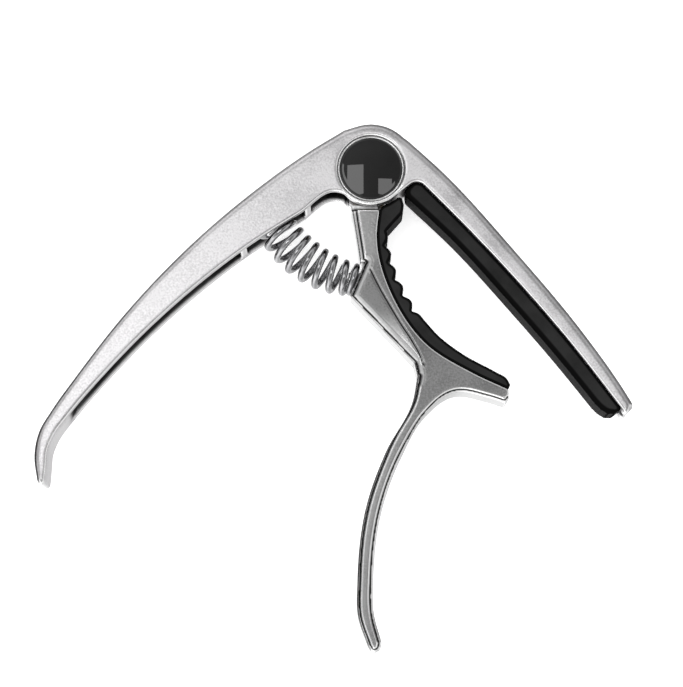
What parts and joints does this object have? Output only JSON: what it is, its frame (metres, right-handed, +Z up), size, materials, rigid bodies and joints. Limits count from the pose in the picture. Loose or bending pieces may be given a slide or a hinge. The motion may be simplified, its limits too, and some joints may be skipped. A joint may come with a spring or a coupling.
{
  "type": "guitar capo",
  "caption": "Spring-loaded trigger capo: cast frame with long handle and string arm, pivoting lever with toothed neck pad, bowed coil spring and rubber string pad.",
  "frame": {"origin": "middle of the footprint's bounding box, on the surface that the capo lies on", "axes": "capo lying on its side: +Z up along the pivot axis, +X from the handle's hook towards the string arm's tip, +Y from the lever's tail towards the hub"},
  "size_m": [0.115, 0.1023, 0.012],
  "materials": {
    "frame_metal": "satin pearl-silver spray over a fine cast texture, bright rubbed edges",
    "lever_metal": "satin silver-grey spray, sandy grain, bright rounded edges",
    "pad_rubber": "matt black moulded rubber with a faint grain",
    "spring_steel": "dark bright-plated spring wire",
    "pivot_steel": "turned steel",
    "washer_brass": "plain stamped washer",
    "badge_metal": "bright disc edge",
    "badge_black": "glossy black resin dome, blank"
  },
  "bodies": {
    "frame": {"frame": "frame_metal", "string_pad": "pad_rubber", "spring": "spring_steel", "pivot_barrel": "pivot_steel", "pivot_screw": "pivot_steel", "washer_front": "washer_brass", "washer_rear": "washer_brass", "badge_plate_front": "badge_metal", "badge_dome_front": "badge_black", "badge_plate_rear": "badge_metal", "badge_dome_rear": "badge_black"},
    "lever": {"lever": "lever_metal", "neck_pad": "pad_rubber"}
  },
  "joints": [
    {"name": "lever_pivot", "type": "hinge", "parent": "frame", "child": "lever", "pos_m": [0.00715, 0.04225, 0.006], "axis": [0, 0, -1], "range_deg": [0, 16], "stiffness_Nm_per_rad": 1.2, "springref_deg": -1.15, "deforming": ["spring"]}
  ]
}
